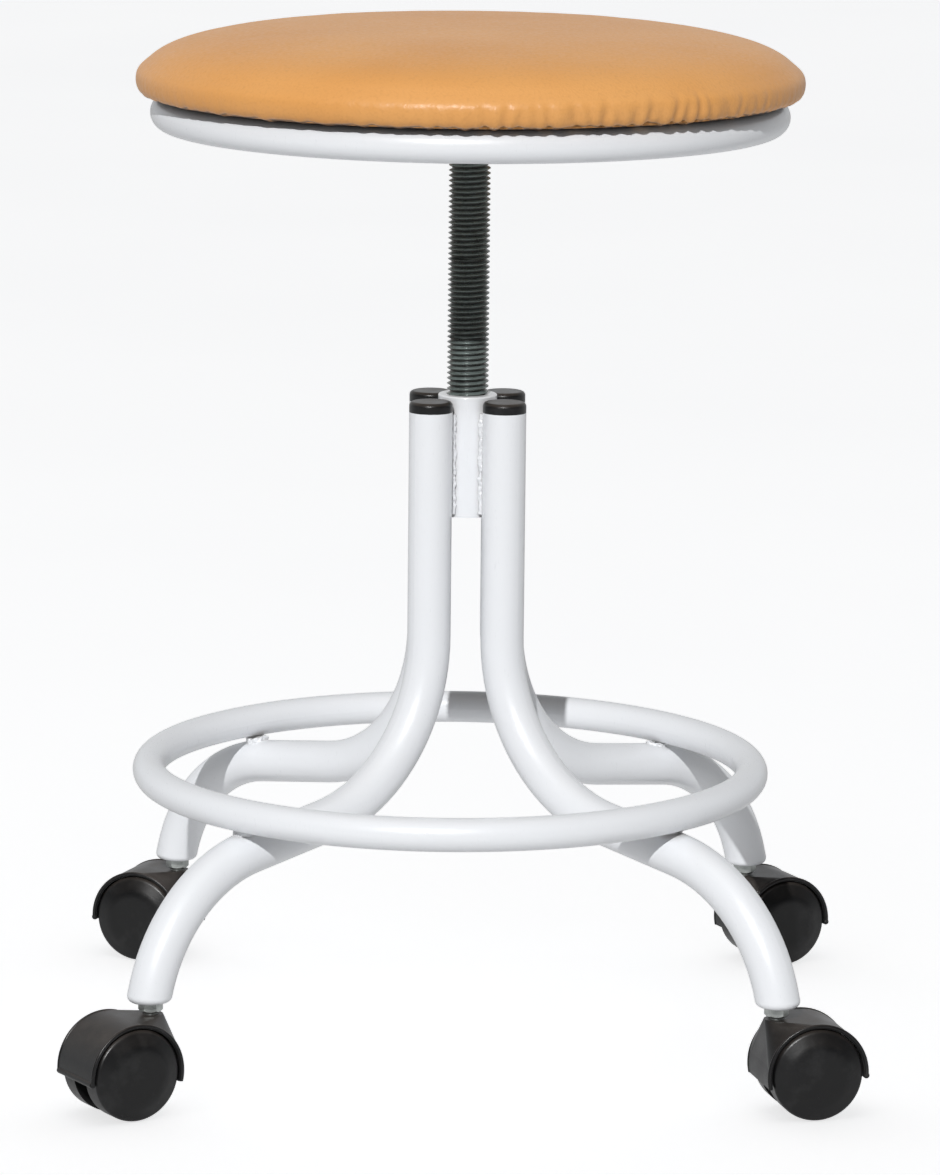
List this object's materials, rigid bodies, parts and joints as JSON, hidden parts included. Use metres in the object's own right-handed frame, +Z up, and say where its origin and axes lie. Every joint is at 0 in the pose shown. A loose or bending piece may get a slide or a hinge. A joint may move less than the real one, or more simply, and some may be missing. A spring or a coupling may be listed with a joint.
{
  "type": "dentist stool",
  "caption": "Height-adjustable stool: round padded seat on a threaded spindle, tube frame with bent legs and a foot ring, twin-wheel swivel castors.",
  "frame": {"origin": "point on the floor under the spindle axis", "axes": "+Z up, +X to the sitter's right, +Y to the rear; legs stand on the diagonals"},
  "size_m": [0.4538, 0.43, 0.592],
  "materials": {
    "white_enamel": "gloss",
    "black_plastic": "satin",
    "wheel_nylon": "satin",
    "zinc_plate": "satin",
    "oiled_steel": "oiled",
    "leatherette": "satin",
    "plywood": "raw",
    "foam": "matte"
  },
  "bodies": {
    "base": {"leg_front_left": "white_enamel", "leg_front_right": "white_enamel", "leg_rear_left": "white_enamel", "leg_rear_right": "white_enamel", "leg_cap_front_left": "black_plastic", "leg_cap_front_right": "black_plastic", "leg_cap_rear_left": "black_plastic", "leg_cap_rear_right": "black_plastic", "leg_foot_front_left": "white_enamel", "leg_foot_front_right": "white_enamel", "leg_foot_rear_left": "white_enamel", "leg_foot_rear_right": "white_enamel", "centre_sleeve": "white_enamel", "threaded_bush": "white_enamel", "foot_ring": "white_enamel", "sleeve_welds": "white_enamel", "ring_welds": "white_enamel", "castor_stem_front_left": "zinc_plate", "castor_stem_front_right": "zinc_plate", "castor_stem_rear_left": "zinc_plate", "castor_stem_rear_right": "zinc_plate", "stem_clips": "zinc_plate"},
    "stop": {"stop_washer": "zinc_plate"},
    "seat": {"seat_cover": "leatherette", "seat_foam": "foam", "seat_board": "plywood", "cover_staples": "zinc_plate", "seat_screws": "zinc_plate", "seat_rim": "white_enamel", "cross_bar_side_to_side": "white_enamel", "cross_bar_front": "white_enamel", "cross_bar_rear": "white_enamel", "spindle_plate": "white_enamel", "spindle": "oiled_steel", "stop_bolt": "zinc_plate"},
    "castor_front_left": {"castor_housing_front_left": "black_plastic", "castor_axle_front_left": "zinc_plate"},
    "wheel_front_left_a": {"wheel_front_left_a": "wheel_nylon"},
    "wheel_front_left_b": {"wheel_front_left_b": "wheel_nylon"},
    "castor_front_right": {"castor_housing_front_right": "black_plastic", "castor_axle_front_right": "zinc_plate"},
    "wheel_front_right_a": {"wheel_front_right_a": "wheel_nylon"},
    "wheel_front_right_b": {"wheel_front_right_b": "wheel_nylon"},
    "castor_rear_left": {"castor_housing_rear_left": "black_plastic", "castor_axle_rear_left": "zinc_plate"},
    "wheel_rear_left_a": {"wheel_rear_left_a": "wheel_nylon"},
    "wheel_rear_left_b": {"wheel_rear_left_b": "wheel_nylon"},
    "castor_rear_right": {"castor_housing_rear_right": "black_plastic", "castor_axle_rear_right": "zinc_plate"},
    "wheel_rear_right_a": {"wheel_rear_right_a": "wheel_nylon"},
    "wheel_rear_right_b": {"wheel_rear_right_b": "wheel_nylon"}
  },
  "joints": [
    {"name": "seat_lift", "type": "slide", "parent": "base", "child": "stop", "axis": [0, 0, 1], "range_m": [-0.15, 0.02]},
    {"name": "seat_turn", "type": "hinge", "parent": "stop", "child": "seat", "pos_m": [0, 0, 0.45], "axis": [0, 0, 1], "range_deg": [-18000, 2400]},
    {"name": "swivel_front_left", "type": "hinge", "parent": "base", "child": "castor_front_left", "pos_m": [-0.1743, -0.1743, 0.04], "axis": [0, 0, 1], "continuous": true},
    {"name": "roll_front_left_a", "type": "hinge", "parent": "castor_front_left", "child": "wheel_front_left_a", "pos_m": [-0.19041, -0.18437, 0.026], "axis": [0.5299, -0.848, 0], "continuous": true},
    {"name": "roll_front_left_b", "type": "hinge", "parent": "castor_front_left", "child": "wheel_front_left_b", "pos_m": [-0.19041, -0.18437, 0.026], "axis": [0.5299, -0.848, 0], "continuous": true},
    {"name": "swivel_front_right", "type": "hinge", "parent": "base", "child": "castor_front_right", "pos_m": [0.1743, -0.1743, 0.04], "axis": [0, 0, 1], "continuous": true},
    {"name": "roll_front_right_a", "type": "hinge", "parent": "castor_front_right", "child": "wheel_front_right_a", "pos_m": [0.19274, -0.1697, 0.026], "axis": [-0.2419, 0.9703, 0], "continuous": true},
    {"name": "roll_front_right_b", "type": "hinge", "parent": "castor_front_right", "child": "wheel_front_right_b", "pos_m": [0.19274, -0.1697, 0.026], "axis": [-0.2419, 0.9703, 0], "continuous": true},
    {"name": "swivel_rear_left", "type": "hinge", "parent": "base", "child": "castor_rear_left", "pos_m": [-0.1743, 0.1743, 0.04], "axis": [0, 0, 1], "continuous": true},
    {"name": "roll_rear_left_a", "type": "hinge", "parent": "castor_rear_left", "child": "wheel_rear_left_a", "pos_m": [-0.19192, 0.18142, 0.026], "axis": [-0.3746, -0.9272, 0], "continuous": true},
    {"name": "roll_rear_left_b", "type": "hinge", "parent": "castor_rear_left", "child": "wheel_rear_left_b", "pos_m": [-0.19192, 0.18142, 0.026], "axis": [-0.3746, -0.9272, 0], "continuous": true},
    {"name": "swivel_rear_right", "type": "hinge", "parent": "base", "child": "castor_rear_right", "pos_m": [0.1743, 0.1743, 0.04], "axis": [0, 0, 1], "continuous": true},
    {"name": "roll_rear_right_a", "type": "hinge", "parent": "castor_rear_right", "child": "wheel_rear_right_a", "pos_m": [0.19152, 0.18233, 0.026], "axis": [-0.4226, 0.9063, 0], "continuous": true},
    {"name": "roll_rear_right_b", "type": "hinge", "parent": "castor_rear_right", "child": "wheel_rear_right_b", "pos_m": [0.19152, 0.18233, 0.026], "axis": [-0.4226, 0.9063, 0], "continuous": true}
  ],
  "couplings": [
    {"joint": "seat_lift", "follows": "seat_turn", "m_per_rad": 0.00047746}
  ]
}
